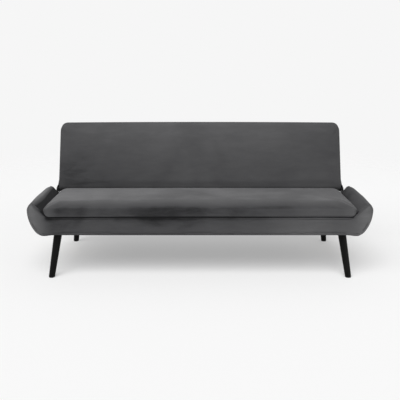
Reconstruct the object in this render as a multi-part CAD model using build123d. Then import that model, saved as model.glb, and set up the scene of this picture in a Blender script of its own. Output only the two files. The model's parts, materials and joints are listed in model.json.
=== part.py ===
from build123d import *
import math
import os

# Click-clack sofa bed, millimetres, +Z up, front towards -Y.
# While it is modelled, Y is measured backwards from the front face of the base.

# Overall form
overall_width = 1960
leg_height = 256
base_height = 110
base_depth = 742
seat_rise = 71
back_inset = 62
back_length = 453
back_thickness = 110
back_lean = 18

# Curled arms
arm_depth = 452
arm_width = 118
arm_rise = 97
arm_shoulder = 143
arm_flare = 82
arm_bottom_radius = 54
arm_tip_inset = 20
arm_tip_radius = 18
arm_root_inset = 108
arm_root_radius = 40
arm_shell = 10
arm_rib = 18

# Boards and covers of the base
panel_thickness = 14
panel_edge_radius = 5
board = 22
lip_thickness = 10
lip_depth = 46
skirt = 6
lining = 2
rear_height = 50
rear_deck = 4
block_length = 80
block_height = 46
block_width = 60

# Legs
leg_top_radius = 24
leg_foot_radius = 18
leg_side_inset = 35
leg_spread = 38
leg_inset = 68
leg_splay = 52
leg_plate_radius = 30
leg_plate = 3
leg_bolt_radius = 4
leg_bolt_length = 70
leg_bolt_grip = 34
glide_height = 5
glide_inset = 1

# Pivot of seat and back, measured from the arm's rear end and down from the seat
pivot_lead = 80
pivot_drop = 42
pivot_radius = 6
pin_head_radius = 11
pin_head = 3
clip_radius = 10
clip = 1
plate = 3
seat_plate_hub = 22

# Seat
pad_gap = 4
pad_inset = 88
pad_end_round = 34
pad_corner = 30
pad_front = 1
pad_rear_clear = 45
pad_front_edge = 5
pad_front_round = 30
pad_front_tuck = 8
pad_crown = 7
pad_draw = 5
pad_end_shares = (0.45, 0.75, 0.93, 0.99)
pad_span_count = 4
tube = 25
tube_wall = 2
seat_tube_front = 75
seat_tube_rear_lead = 38
seat_side_gap = 12.5
slat_count = 10
slat_pitch = 160
slat_width = 53
slat_thickness = 8
slat_bow = 5
slat_overhang = 10
cap_wall = 2
cap_side = 4
cap_length = 30

# Back
back_heel = 3
back_foot_round = 36
back_top_round = 32
back_corner = 46
back_foot_corner = 3
back_end_round = 24
back_crown = 8
back_corner_shares = (0.35, 0.6, 0.78, 0.9, 0.97, 1)
back_foam = 92
back_board = 9
back_board_inset = 24
back_cover_edge = 4
back_side_margin = 57
back_tube_inset = 45
back_bolt_radius = 4
back_bolt_pitch = 36
sleeve_wall = 3
sleeve_clear = 1

# Click-clack hinge at each end
rim_radius = 44
slot_radius = 27
slot_angle = 100
stop_radius = 5
slot_clear = 0.3
plate_arm_hub = 28
plate_arm_end = 13
notch_count = 3
notch_depth = 3.6
notch_clear = 0.5
pawl_angle = 262
pawl_length = 40
pawl_ratio = 0.5
pawl_nose = 4
pawl_neck = 7
pawl_boss = 11
pawl_pin_radius = 5
pawl_pin_rim = 2
pawl_pin_head = 1.5
bracket_boss = 36
bracket_lug = 13
bracket_margin = 6
bracket_bolt_radius = 5
bracket_bolt_head = 9
bracket_bolt_head_height = 6
bracket_bolt_reach = 40
bracket_bolt_count = 3
bracket_bolt_lead = 36
bracket_bolt_pitch = 62

# Rubber bumpers
bumper_radius = 11
bumper_height = 7
bumper_inset = 200

# Clearances
seat_clear = 0.3
layer_clear = 0.5
running = 0.05
bolt_clear = 0.1
soft_clear = 0.3

# Levels and places worked out from the sizes above
half_width = overall_width / 2
rail_half = half_width - arm_width
back_half = half_width - back_inset
pad_half = half_width - pad_inset
deck_z = leg_height + base_height
seat_height = deck_z + seat_rise
pivot_y = arm_depth + pivot_lead
frame_z = leg_height + lining
recline = 90 - back_lean
pivot_z = seat_height - pivot_drop
back_far = back_heel + back_length
back_rear = pivot_drop - back_thickness
pad_bottom = deck_z + pad_gap
slat_top = pad_bottom - seat_clear
seat_tube_top = slat_top - slat_bow - slat_thickness - cap_wall
seat_tube_low = seat_tube_top - tube
seat_tube_rear = pivot_y - seat_tube_rear_lead
board_top = deck_z - lip_thickness
board_back = panel_thickness + board
rear_top = leg_height + rear_height
rear_deck_top = rear_top + rear_deck
ledger_top = seat_tube_low - bumper_height
rail_inner = rail_half - board
seat_tube_side = rail_inner - seat_side_gap - tube / 2
back_tube_side = back_half - back_side_margin
bumper_x = rail_inner - bumper_inset
rear_rail_front = base_depth - skirt - board
leg_rear_y = base_depth - leg_inset
leg_top_x = rail_half - leg_side_inset
leg_foot_x = leg_top_x + leg_spread
leg_top_z = leg_height - leg_plate

# Hinge layers, from the back pad outwards
clip_x = back_half + layer_clear
seat_plate_x = clip_x + clip + layer_clear
back_plate_x = seat_plate_x + plate + layer_clear
bracket_x = back_plate_x + plate + layer_clear
bracket_out = bracket_x + plate

nodes = {}


def slab(x0, x1, y0, y1, z0, z1):
    size = Box(x1 - x0, y1 - y0, z1 - z0)
    return Pos((x0 + x1) / 2, (y0 + y1) / 2, (z0 + z1) / 2) * size


def square_tube(x0, x1, y0, y1, z0, z1):
    # A square steel tube, open at both ends of its longest side.
    outer = [(x0, x1), (y0, y1), (z0, z1)]
    lengths = [high - low for low, high in outer]
    longest = lengths.index(max(lengths))
    bore = []
    for index, (low, high) in enumerate(outer):
        inset = 0 if index == longest else tube_wall
        bore.extend([low + inset, high - inset])
    return slab(x0, x1, y0, y1, z0, z1) - slab(*bore)


def rod_x(y, z, radius, x0, x1):
    return Pos((x0 + x1) / 2, y, z) * Rot(0, 90, 0) * Cylinder(radius, x1 - x0)


def rod_z(x, y, radius, z0, z1):
    return Pos(x, y, (z0 + z1) / 2) * Cylinder(radius, z1 - z0)


def solids_of(shapes):
    found = []
    for shape in shapes:
        found.extend(shape.solids())
    return found


def set_of(shapes):
    return Compound(solids_of(shapes))


def other_side(shape):
    return mirror(shape, about=Plane.YZ)


def pair(name, shape):
    nodes["right_" + name] = shape
    nodes["left_" + name] = other_side(shape)


def both(shapes):
    return shapes + [other_side(shape) for shape in shapes]


def circle_at(y, z, radius):
    return Pos(y, z) * Circle(radius)


def hull_of(circles):
    edges = []
    for circle in circles:
        edges.extend(circle.edges())
    return make_hull(edges)


def plate_x(sketch, x0, x1):
    # A flat drawing in Y and Z, given its thickness along X.
    return extrude(Plane.YZ.offset(x0) * sketch, x1 - x0)


def polar(radius, angle):
    turn = math.radians(angle)
    return Vector(pivot_y + radius * math.cos(turn), pivot_z + radius * math.sin(turn))


# Boat outline, drawn in X and Z on the right-hand side
arm_foot = Vector(half_width - arm_flare, leg_height)
arm_widest = Vector(half_width, leg_height + arm_shoulder)
arm_tip = Vector(half_width - arm_tip_inset, deck_z + arm_rise)
arm_root = Vector(half_width - arm_root_inset, deck_z)


def arm_outer_edges():
    # Three arcs, each running smoothly into the next, from the flat bottom up to the tip.
    lower_centre = arm_foot + Vector(0, arm_bottom_radius)
    drop = arm_widest.Y - lower_centre.Y
    upper_radius = arm_flare ** 2 + drop ** 2 - arm_bottom_radius ** 2
    upper_radius = upper_radius / (2 * (arm_flare - arm_bottom_radius))
    upper_centre = arm_widest - Vector(upper_radius, 0)
    reach = (lower_centre - upper_centre).normalized()
    join = upper_centre + reach * upper_radius
    lower_mid = (Vector(0, -1) + reach).normalized() * arm_bottom_radius + lower_centre
    upper_mid = (Vector(1, 0) + reach).normalized() * upper_radius + upper_centre
    climb = arm_tip.Y - arm_widest.Y
    half_turn = math.atan2(arm_tip_inset, climb)
    cheek_radius = climb / math.sin(2 * half_turn)
    cheek_centre = arm_widest - Vector(cheek_radius, 0)
    cheek_mid = cheek_centre + Vector(math.cos(half_turn), math.sin(half_turn)) * cheek_radius
    return [
        ThreePointArc(arm_foot, lower_mid, join),
        ThreePointArc(join, upper_mid, arm_widest),
        ThreePointArc(arm_widest, cheek_mid, arm_tip),
    ]


def boat_face():
    # The whole front of the base, rounded at the tips and where the arms rise from the deck.
    right = arm_outer_edges() + [Line(arm_tip, arm_root)]
    left = [mirror(edge, about=Plane.YZ) for edge in right]
    root_left = Vector(-arm_root.X, arm_root.Y)
    foot_left = Vector(-arm_foot.X, arm_foot.Y)
    face = make_face(right + left + [Line(arm_root, root_left), Line(arm_foot, foot_left)])
    for point, radius in ((arm_tip, arm_tip_radius), (arm_root, arm_root_radius)):
        corners = [
            vertex for vertex in face.vertices()
            if abs(abs(vertex.X) - point.X) + abs(vertex.Y - point.Y) < soft_clear
        ]
        face = fillet(corners, radius)
    return face


def arm_face():
    inboard = Pos(rail_half - half_width, leg_height) * Rectangle(2 * half_width, 4 * base_height)
    return boat_face() - inboard


def along_y(sketch, y0, y1):
    # A flat drawing in X and Z, carried backwards from y0 to y1.
    return extrude(Plane.XZ.offset(-y1) * sketch, y1 - y0)


def build_arms():
    face = arm_face()
    shell = along_y(face, panel_thickness, arm_depth)
    rear_edges = shell.faces().sort_by(Axis.Y)[-1].outer_wire().edges()
    shell = fillet(rear_edges, panel_edge_radius)
    hollow_face = offset(face, -arm_shell, kind=Kind.INTERSECTION)
    shell = shell - along_y(hollow_face, panel_thickness, arm_depth - arm_shell)
    pair("arm_cover", shell)
    rib_face = offset(face, -arm_shell - soft_clear, kind=Kind.INTERSECTION)
    rib_last = arm_depth - arm_shell - arm_rib - soft_clear
    starts = [panel_thickness, (panel_thickness + rib_last) / 2, rib_last]
    ribs = [along_y(rib_face, start, start + arm_rib) for start in starts]
    nodes["arm_ribs"] = set_of(both(ribs))


def build_front_panel():
    panel = along_y(boat_face(), 0, panel_thickness)
    front_edges = panel.faces().sort_by(Axis.Y)[0].outer_wire().edges()
    nodes["front_panel"] = fillet(front_edges, panel_edge_radius)


def build_base_frame():
    nodes["front_board"] = slab(-rail_half, rail_half, panel_thickness, board_back, frame_z, board_top)
    lip_end = panel_thickness + lip_depth
    lip = slab(-rail_half, rail_half, panel_thickness, lip_end, board_top, deck_z)
    nodes["deck_lip"] = fillet(lip.edges().filter_by(Axis.X).sort_by(Axis.Y)[-2:], lip_thickness / 3)
    ledger_end = board_back + board
    nodes["front_ledger"] = slab(-rail_inner, rail_inner, board_back, ledger_end, frame_z, ledger_top)
    mid_front = arm_depth - board
    nodes["mid_rail"] = slab(-rail_inner, rail_inner, mid_front, arm_depth, frame_z, ledger_top)
    nodes["rear_rail"] = slab(-rail_half, rail_half, rear_rail_front, base_depth - skirt, frame_z, rear_top)
    step = Polyline(
        (board_back, frame_z),
        (rear_rail_front, frame_z),
        (rear_rail_front, rear_top),
        (arm_depth, rear_top),
        (arm_depth - board, board_top),
        (board_back, board_top),
        close=True,
    )
    pair("side_rail", plate_x(make_face(step), rail_inner, rail_half))
    spans = [(ledger_end, mid_front), (arm_depth, rear_rail_front)]
    rails = [slab(-board / 2, board / 2, y0, y1, frame_z, rear_top) for y0, y1 in spans]
    nodes["centre_rails"] = set_of(rails)
    hinge_block = slab(
        rail_half, bracket_x - skirt, arm_depth + soft_clear, base_depth - skirt, frame_z, rear_top
    )
    for y, z in bracket_bolt_places():
        hinge_block = hinge_block - rod_x(y, z, bracket_bolt_radius + bolt_clear, rail_half, bracket_x)
    nodes["hinge_blocks"] = set_of(both([hinge_block]))


def bracket_bolt_places():
    first = pivot_y - bracket_bolt_lead
    level = (frame_z + rear_top) / 2
    return [(first + bracket_bolt_pitch * index, level) for index in range(bracket_bolt_count)]


def build_base_covers():
    side = slab(
        bracket_x - skirt, bracket_x, arm_depth + soft_clear, base_depth - skirt, leg_height, rear_top
    )
    for y, z in bracket_bolt_places():
        side = side - rod_x(y, z, bracket_bolt_radius + bolt_clear, bracket_x - 2 * skirt, bracket_x + skirt)
    pair("side_skirt", side)
    rear = slab(-bracket_x, bracket_x, base_depth - skirt, base_depth, leg_height, rear_top)
    nodes["rear_skirt"] = fillet(rear.edges().filter_by(Axis.Z).sort_by(Axis.Y)[-2:], skirt / 2)
    deck_start = arm_depth + soft_clear
    nodes["rear_deck"] = slab(-bracket_x, bracket_x, deck_start, base_depth, rear_top, rear_deck_top)
    sheet = slab(-rail_half, rail_half, panel_thickness, base_depth - skirt, leg_height, frame_z)
    for x, y in leg_tops():
        sheet = sheet - rod_z(x, y, leg_bolt_radius + bolt_clear, leg_height - lining, frame_z + lining)
    nodes["dust_cover"] = sheet


def leg_tops():
    return [(x, y) for x in (-leg_top_x, leg_top_x) for y in (leg_inset, leg_rear_y)]


def build_legs():
    plates = []
    bolts = []
    glides = []
    blocks = []
    bolt_low = leg_top_z - leg_bolt_grip
    bolt_high = bolt_low + leg_bolt_length
    for x, y in leg_tops():
        side = math.copysign(1, x)
        out = -1 if y == leg_inset else 1
        foot_x = side * leg_foot_x
        foot_y = y + out * leg_splay
        top = Pos(x, y, leg_top_z) * Circle(leg_top_radius)
        foot = Pos(foot_x, foot_y, glide_height) * Circle(leg_foot_radius)
        leg = loft([foot, top], ruled=True)
        bore = leg_bolt_radius + bolt_clear
        leg = leg - rod_z(x, y, bore, bolt_low - bolt_clear, leg_top_z)
        name = ("front_" if out < 0 else "rear_") + ("right_leg" if side > 0 else "left_leg")
        nodes[name] = leg
        disc = rod_z(x, y, leg_plate_radius, leg_top_z, leg_height)
        plates.append(disc - rod_z(x, y, bore, leg_top_z, leg_height))
        bolts.append(rod_z(x, y, leg_bolt_radius, bolt_low, bolt_high))
        glides.append(rod_z(foot_x, foot_y, leg_foot_radius - glide_inset, 0, glide_height))
        y0 = board_back + board if out < 0 else rear_rail_front - block_length
        block_top = frame_z + block_height
        block = slab(rail_inner - block_width, rail_inner, y0, y0 + block_length, frame_z, block_top)
        if side < 0:
            block = other_side(block)
        blocks.append(block - rod_z(x, y, bore, frame_z, block_top))
    nodes["leg_plates"] = set_of(plates)
    nodes["leg_bolts"] = set_of(bolts)
    nodes["leg_glides"] = set_of(glides)
    nodes["corner_blocks"] = set_of(blocks)


def build_bumpers():
    height = seat_tube_low - ledger_top - seat_clear
    rows = [board_back + board / 2, arm_depth - board / 2]
    sides = (-bumper_x, bumper_x)
    pads = [rod_z(x, y, bumper_radius, ledger_top, ledger_top + height) for x in sides for y in rows]
    nodes["seat_bumpers"] = set_of(pads)
    flat_low = pivot_z + back_rear
    y = rear_rail_front + board / 2
    stops = [rod_z(x, y, bumper_radius, rear_deck_top, flat_low - seat_clear) for x in sides]
    nodes["back_bumpers"] = set_of(stops)


def closing(x, half, reach):
    # How far a rounded end has closed at x: 0 in the span, 1 at the very end.
    share = max(0, abs(x) - half + reach) / reach
    return 1 - math.sqrt(1 - min(1, share) ** 2)


def pad_stations(half, reach, shares):
    # Places along the pad: evenly over the span, then at these shares of each rounded end.
    flat_half = half - reach
    stations = [flat_half * (2 * index / pad_span_count - 1) for index in range(pad_span_count + 1)]
    for share in shares:
        stations.append(flat_half + reach * share)
        stations.insert(0, -flat_half - reach * share)
    return stations


def pad_loft(stations, outline):
    # Ruled loft through sections along X; outline gives each section's lines and arcs by their points.
    sections = []
    for x in stations:
        edges = []
        for points in outline(x):
            placed = [(x, y, z) for y, z in points]
            edges.append(Line(*placed) if len(placed) == 2 else ThreePointArc(*placed))
        sections.append(make_face(edges))
    return loft(sections, ruled=True)


def build_seat_pad():
    rear_end = pivot_y - pad_rear_clear
    mid_z = (pad_bottom + seat_height) / 2
    half_turn = math.sqrt(0.5)
    foot_sine = (pad_bottom - pivot_z) / pivot_drop

    def outline(x):
        close = closing(x, pad_half, pad_end_round)
        flat = 1 - close
        bulge = 1 - (x / pad_half) ** 2
        front = pad_front + pad_draw * bulge + pad_corner * close
        round_y = rear_end - pad_corner * close - pivot_drop * flat
        radius = pivot_drop * flat

        def level(z):
            return mid_z + (z - mid_z) * flat

        edge_z = level(seat_height - pad_front_edge)
        foot = (front + pad_front_tuck * flat, level(pad_bottom))
        heel = (round_y + radius * math.sqrt(1 - foot_sine ** 2), level(pad_bottom))
        shoulder = (round_y + radius * half_turn, level(pivot_z) + radius * half_turn)
        tail = (round_y, level(seat_height))
        nose = (front + pad_front_round * flat, edge_z)
        crown = ((tail[0] + nose[0]) / 2, level(seat_height + pad_crown * bulge))
        return [
            [foot, heel],
            [heel, shoulder, tail],
            [tail, crown, nose],
            [nose, (front, level(mid_z)), foot],
        ]

    stations = pad_stations(pad_half, pad_end_round, pad_end_shares)
    nodes["seat_pad"] = pad_loft(stations, outline)


def build_seat_frame():
    low = seat_tube_low
    top = seat_tube_top
    half = tube / 2
    front = seat_tube_front
    rear = seat_tube_rear
    reach = seat_tube_side + half
    nodes["seat_tube_front"] = square_tube(-reach, reach, front - half, front + half, low, top)
    nodes["seat_tube_rear"] = square_tube(-seat_plate_x, seat_plate_x, rear - half, rear + half, low, top)
    pair("seat_tube", square_tube(seat_tube_side - half, reach, front + half, rear - half, low, top))
    nodes["seat_tube_middle"] = square_tube(-half, half, front + half, rear - half, low, top)


def slat_places():
    first = -slat_pitch * (slat_count - 1) / 2
    return [first + slat_pitch * index for index in range(slat_count)]


def build_slats():
    low = seat_tube_top + cap_wall
    start = seat_tube_front - slat_overhang
    end = seat_tube_rear + slat_overhang
    middle = (start + end) / 2
    under = ThreePointArc((start, low), (middle, low + slat_bow), (end, low))
    over_z = low + slat_thickness
    over = ThreePointArc((start, over_z), (middle, over_z + slat_bow), (end, over_z))
    outline = make_face([under, over, Line((start, low), (start, over_z)), Line((end, low), (end, over_z))])
    slats = [plate_x(outline, x - slat_width / 2, x + slat_width / 2) for x in slat_places()]
    nodes["seat_slats"] = set_of(slats)
    caps = []
    cap_share = cap_length / (end - start)
    slot_top = low + slat_thickness + 4 * slat_bow * cap_share * (1 - cap_share) + seat_clear
    cap_top = slot_top + cap_wall
    cap_half = slat_width / 2 + cap_side
    slot_half = slat_width / 2 + seat_clear
    for x in slat_places():
        for end_y, inward in ((start, 1), (end, -1)):
            outer = end_y - inward * cap_wall
            inner = outer + inward * cap_length
            mouth = inner + inward * cap_wall
            cap = slab(
                x - cap_half, x + cap_half, min(outer, inner), max(outer, inner),
                seat_tube_top, cap_top,
            )
            slot_end = end_y - inward * seat_clear
            slot = slab(
                x - slot_half, x + slot_half, min(slot_end, mouth), max(slot_end, mouth),
                low, slot_top,
            )
            caps.append(cap - slot)
    nodes["slat_caps"] = set_of(caps)


# The back is drawn lying flat, with the pivot at the origin, then stood up to its lean.
stand_up = Pos(0, pivot_y, pivot_z) * Rot(recline, 0, 0)
tube_high = pivot_drop - back_foam + tube
tube_low = pivot_drop - back_foam


def build_back_pad():
    low = tube_low
    corner_share = 1 - math.sqrt(0.5)

    def outline(x):
        corner = closing(x, back_half, back_corner)
        bulge = 1 - (x / half_width) ** 2
        near = back_heel + back_foot_corner * corner
        far = back_far - back_corner * corner
        foot_round = back_foot_round
        top_round = back_top_round
        face = low + back_foam - back_end_round * closing(x, back_half, back_end_round)
        crown = face + back_crown * bulge
        foot_in = (near + foot_round * corner_share, face - foot_round * corner_share)
        top_in = (far - top_round * corner_share, face - top_round * corner_share)
        foot_front = (near + foot_round, face)
        top_front = (far - top_round, face)
        foot_low = (near, face - foot_round)
        top_low = (far, face - top_round)
        return [
            [(near, low), (far, low)],
            [(far, low), top_low],
            [top_low, top_in, top_front],
            [top_front, ((near + far) / 2, crown), foot_front],
            [foot_front, foot_in, foot_low],
            [foot_low, (near, low)],
        ]

    pad = pad_loft(pad_stations(back_half, back_corner, back_corner_shares), outline)
    for groove in back_tubes(slab, soft_clear).values():
        pad = pad - groove
    for y in back_bolt_places():
        # The foam is notched from behind to pass the sleeves.
        gap = back_bolt_radius + sleeve_wall + sleeve_clear
        notch = slab(back_tube_side, back_half, y - gap, y + gap, low - gap, back_bolt_level() + gap)
        pad = pad - notch - other_side(notch)
    nodes["back_pad"] = stand_up * pad


def back_bolt_places():
    # Both bolts enter the side tube, the first level with the bottom tube.
    first = back_heel + back_tube_inset
    return [first, first + back_bolt_pitch]


def back_bolt_level():
    return (tube_low + tube_high) / 2


def back_tubes(shape, grow=0):
    # The five frame tubes, or with slab and grow the grooves that hold them.
    half = tube / 2
    near = back_heel + back_tube_inset
    far = back_far - back_tube_inset
    low = tube_low - grow
    high = tube_high + grow
    edge = half + grow
    span = back_tube_side - half
    side = shape(back_tube_side - edge, back_tube_side + edge, near - edge, far + edge, low, high)
    return {
        "back_tube_bottom": shape(-span, span, near - edge, near + edge, low, high),
        "back_tube_top": shape(-span, span, far - edge, far + edge, low, high),
        "right_back_tube": side,
        "left_back_tube": other_side(side),
        "back_tube_middle": shape(-edge, edge, near + half, far - half, low, high),
    }


def build_back_frame():
    tubes = back_tubes(square_tube)
    for y in back_bolt_places():
        bore = rod_x(y, back_bolt_level(), back_bolt_radius + bolt_clear, back_tube_side - tube, back_half)
        tubes["right_back_tube"] = tubes["right_back_tube"] - bore
    tubes["left_back_tube"] = other_side(tubes["right_back_tube"])
    for name, solid in tubes.items():
        nodes[name] = stand_up * solid
    board_low = tube_low - back_board
    inset = back_board_inset
    sheet = slab(
        -back_half + inset, back_half - inset, back_heel + inset, back_far - inset, board_low, tube_low
    )
    nodes["back_board"] = stand_up * sheet
    cover = slab(-back_half, back_half, back_heel, back_far, back_rear, board_low + back_board - soft_clear)
    corners = cover.edges().filter_by(Axis.Z).sort_by(Axis.Y)[-2:]
    cover = fillet(corners, back_corner)
    rim = cover.faces().sort_by(Axis.Z)[0].outer_wire().edges()
    cover = fillet(rim, back_cover_edge)
    pocket = slab(
        -back_half + inset - soft_clear, back_half - inset + soft_clear, back_heel + inset - soft_clear,
        back_far - inset + soft_clear, board_low - soft_clear, tube_low + soft_clear,
    )
    nodes["back_rear_cover"] = stand_up * (cover - pocket)


def back_plate_sketch():
    # Drawn in the sofa position: round rim with notches, arc slot for the stop pin, arm up to the bolts.
    lean = math.radians(back_lean)
    level = back_bolt_level()
    places = []
    for along in back_bolt_places():
        y = pivot_y + along * math.sin(lean) - level * math.cos(lean)
        z = pivot_z + along * math.cos(lean) + level * math.sin(lean)
        places.append((y, z))
    hub = circle_at(pivot_y, pivot_z, plate_arm_hub)
    tip = circle_at(*places[-1], plate_arm_end)
    sketch = circle_at(pivot_y, pivot_z, rim_radius) + hull_of([hub, tip])
    sketch = sketch - circle_at(pivot_y, pivot_z, pivot_radius + running)
    for y, z in places:
        sketch = sketch - circle_at(y, z, back_bolt_radius + bolt_clear)
    gap = stop_radius + slot_clear
    ends = [polar(slot_radius, slot_angle), polar(slot_radius, slot_angle + recline)]
    inner = [polar(slot_radius - gap, slot_angle + recline * share) for share in (0, 0.5, 1)]
    outer = [polar(slot_radius + gap, slot_angle + recline * share) for share in (0, 0.5, 1)]
    slot = make_face([
        ThreePointArc(*inner), ThreePointArc(*outer), Line(inner[0], outer[0]), Line(inner[2], outer[2])
    ])
    for end in ends:
        slot = slot + circle_at(end.X, end.Y, gap)
    sketch = sketch - slot
    lift_turn = math.degrees((notch_depth + notch_clear) / (pawl_ratio * pawl_length))
    for index in range(notch_count):
        angle = pawl_angle + recline * index / (notch_count - 1)
        seat = polar(nose_radius(), angle)
        leave = polar(nose_radius() + notch_depth + notch_clear, angle + lift_turn)
        cutter = [circle_at(seat.X, seat.Y, pawl_nose + notch_clear)]
        cutter.append(circle_at(leave.X, leave.Y, pawl_nose + notch_clear))
        sketch = sketch - hull_of(cutter)
    return sketch


def nose_radius():
    return rim_radius - notch_depth + pawl_nose


def pawl_pin_place():
    # The pawl lies along the rim's tangent, so its nose leaves the notch squarely.
    nose = polar(nose_radius(), pawl_angle)
    turn = math.radians(pawl_angle)
    return nose + Vector(math.sin(turn), -math.cos(turn)) * pawl_length


def build_pawls():
    nose = polar(nose_radius(), pawl_angle)
    pin = pawl_pin_place()
    outward = (nose - polar(0, 0)).normalized()
    neck = nose + outward * (pawl_neck - pawl_nose + notch_depth)
    boss = circle_at(pin.X, pin.Y, pawl_boss)
    arm = hull_of([boss, circle_at(neck.X, neck.Y, pawl_neck)])
    finger = hull_of([circle_at(neck.X, neck.Y, pawl_nose), circle_at(nose.X, nose.Y, pawl_nose)])
    keep_out = circle_at(pivot_y, pivot_z, rim_radius + notch_clear)
    sketch = (arm - keep_out) + finger - circle_at(pin.X, pin.Y, pawl_pin_radius + running)
    pair("pawl", plate_x(sketch, back_plate_x, back_plate_x + plate))


def build_hinge_plates():
    pivot_hole = circle_at(pivot_y, pivot_z, pivot_radius + running)
    hub = circle_at(pivot_y, pivot_z, seat_plate_hub)
    middle = (seat_tube_low + seat_tube_top) / 2
    foot = circle_at(seat_tube_rear, middle, tube / math.sqrt(2))
    seat_plate = hull_of([hub, foot]) - pivot_hole
    pair("seat_plate", plate_x(seat_plate, seat_plate_x, seat_plate_x + plate))
    back_plate = plate_x(back_plate_sketch(), back_plate_x, back_plate_x + plate)
    pair("back_plate", back_plate)


def build_back_bolts():
    bolts = []
    sleeves = []
    tube_out = back_tube_side + tube / 2
    for y in back_bolt_places():
        z = back_bolt_level()
        bolts.append(rod_x(y, z, back_bolt_radius, back_tube_side - tube / 2, back_plate_x + plate))
        sleeve = rod_x(y, z, back_bolt_radius + sleeve_wall, tube_out, back_plate_x)
        sleeves.append(sleeve - rod_x(y, z, back_bolt_radius + bolt_clear, tube_out, back_plate_x))
    nodes["back_bolts"] = set_of([stand_up * bolt for bolt in both(bolts)])
    nodes["back_sleeves"] = set_of([stand_up * sleeve for sleeve in both(sleeves)])


def build_brackets():
    pin = pawl_pin_place()
    stop = polar(slot_radius, slot_angle)
    boss = circle_at(pivot_y, pivot_z, bracket_boss)
    lug = circle_at(pin.X, pin.Y, bracket_lug)
    feet = [circle_at(y, z, bracket_bolt_head + bracket_margin) for y, z in bracket_bolt_places()]
    sketch = hull_of([boss, feet[0], feet[-1]]) + hull_of([boss, lug]) + hull_of([lug, feet[0]])
    sketch = sketch - circle_at(pivot_y, pivot_z, pivot_radius + running)
    sketch = sketch - circle_at(stop.X, stop.Y, stop_radius + running)
    sketch = sketch - circle_at(pin.X, pin.Y, pawl_pin_radius + running)
    for y, z in bracket_bolt_places():
        sketch = sketch - circle_at(y, z, bracket_bolt_radius + bolt_clear)
    pair("hinge_bracket", plate_x(sketch, bracket_x, bracket_out))
    shank = rod_x(pivot_y, pivot_z, pivot_radius, clip_x, bracket_out)
    head = rod_x(pivot_y, pivot_z, pin_head_radius, bracket_out, bracket_out + pin_head)
    pair("pivot_pin", shank + head)
    ring = rod_x(pivot_y, pivot_z, clip_radius, clip_x, clip_x + clip)
    ring = ring - rod_x(pivot_y, pivot_z, pivot_radius + running, clip_x, clip_x + clip)
    nodes["pivot_clips"] = set_of(both([ring]))
    nodes["stop_pins"] = set_of(both([rod_x(stop.X, stop.Y, stop_radius, back_plate_x, bracket_out)]))
    pawl_pin = rod_x(pin.X, pin.Y, pawl_pin_radius, back_plate_x, bracket_out)
    rim = rod_x(pin.X, pin.Y, pawl_pin_radius + pawl_pin_rim, bracket_out, bracket_out + pawl_pin_head)
    nodes["pawl_pins"] = set_of(both([pawl_pin + rim]))
    bolts = []
    for y, z in bracket_bolt_places():
        bolt = rod_x(y, z, bracket_bolt_radius, bracket_x - bracket_bolt_reach, bracket_out)
        head_end = bracket_out + bracket_bolt_head_height
        hexagon = Pos(y, z) * RegularPolygon(bracket_bolt_head, 6)
        bolts.append(bolt + plate_x(hexagon, bracket_out, head_end))
    nodes["bracket_bolts"] = set_of(both(bolts))


def main():
    build_front_panel()
    build_arms()
    build_base_frame()
    build_base_covers()
    build_legs()
    build_bumpers()
    build_seat_pad()
    build_seat_frame()
    build_slats()
    build_back_pad()
    build_back_frame()
    build_hinge_plates()
    build_back_bolts()
    build_pawls()
    build_brackets()

    # The origin is on the floor, in the middle of the sofa's own box.
    boxes = [shape.bounding_box() for shape in nodes.values()]
    centre_y = (min(box.min.Y for box in boxes) + max(box.max.Y for box in boxes)) / 2
    pin = pawl_pin_place()
    print("nodes", len(nodes))
    print("pivot y z", round(pivot_y - centre_y, 4), round(pivot_z, 4))
    print("pawl pin y z", round(pin.X - centre_y, 4), round(pin.Y, 4))
    print("front glide y", round(leg_inset - leg_splay - centre_y, 4))
    os.makedirs("parts", exist_ok=True)
    for name, shape in nodes.items():
        export_step(Pos(0, -centre_y, 0) * shape, "parts/" + name + ".step")


main()
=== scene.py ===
import json
import math
import bmesh
import bpy
from mathutils import Matrix, Vector


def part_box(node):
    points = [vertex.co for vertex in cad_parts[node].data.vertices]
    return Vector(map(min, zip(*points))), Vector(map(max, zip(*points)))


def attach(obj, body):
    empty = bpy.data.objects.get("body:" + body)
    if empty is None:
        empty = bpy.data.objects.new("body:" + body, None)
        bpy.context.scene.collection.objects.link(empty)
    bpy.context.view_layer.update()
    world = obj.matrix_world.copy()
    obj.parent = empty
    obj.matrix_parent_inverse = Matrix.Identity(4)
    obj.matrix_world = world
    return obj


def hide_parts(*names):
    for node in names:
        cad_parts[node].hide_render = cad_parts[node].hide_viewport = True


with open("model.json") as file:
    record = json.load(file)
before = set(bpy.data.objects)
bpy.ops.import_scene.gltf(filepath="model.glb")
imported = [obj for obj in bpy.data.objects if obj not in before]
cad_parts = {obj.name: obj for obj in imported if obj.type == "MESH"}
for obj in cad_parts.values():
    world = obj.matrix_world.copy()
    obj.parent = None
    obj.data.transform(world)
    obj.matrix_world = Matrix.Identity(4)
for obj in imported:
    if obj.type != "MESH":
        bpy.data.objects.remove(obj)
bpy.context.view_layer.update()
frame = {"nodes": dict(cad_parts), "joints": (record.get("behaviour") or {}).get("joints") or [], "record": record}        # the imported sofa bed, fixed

nodes = frame["nodes"]
record = frame["record"]
scene = bpy.context.scene
scene.view_settings.view_transform = "Standard"
print("frame loaded, nodes:", len(nodes))

# Where the sofa stands in its frame
place = {
    "frontFace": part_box("front_panel")[0].y,      # front of the base
    "pivot": Vector(frame["joints"][0]["pos_m"]),
    "recline": math.radians(72),                  # from flat up to the lean of the back
}
standUp = Matrix.Translation(place["pivot"]) @ Matrix.Rotation(place["recline"], 4, "X")


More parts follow.
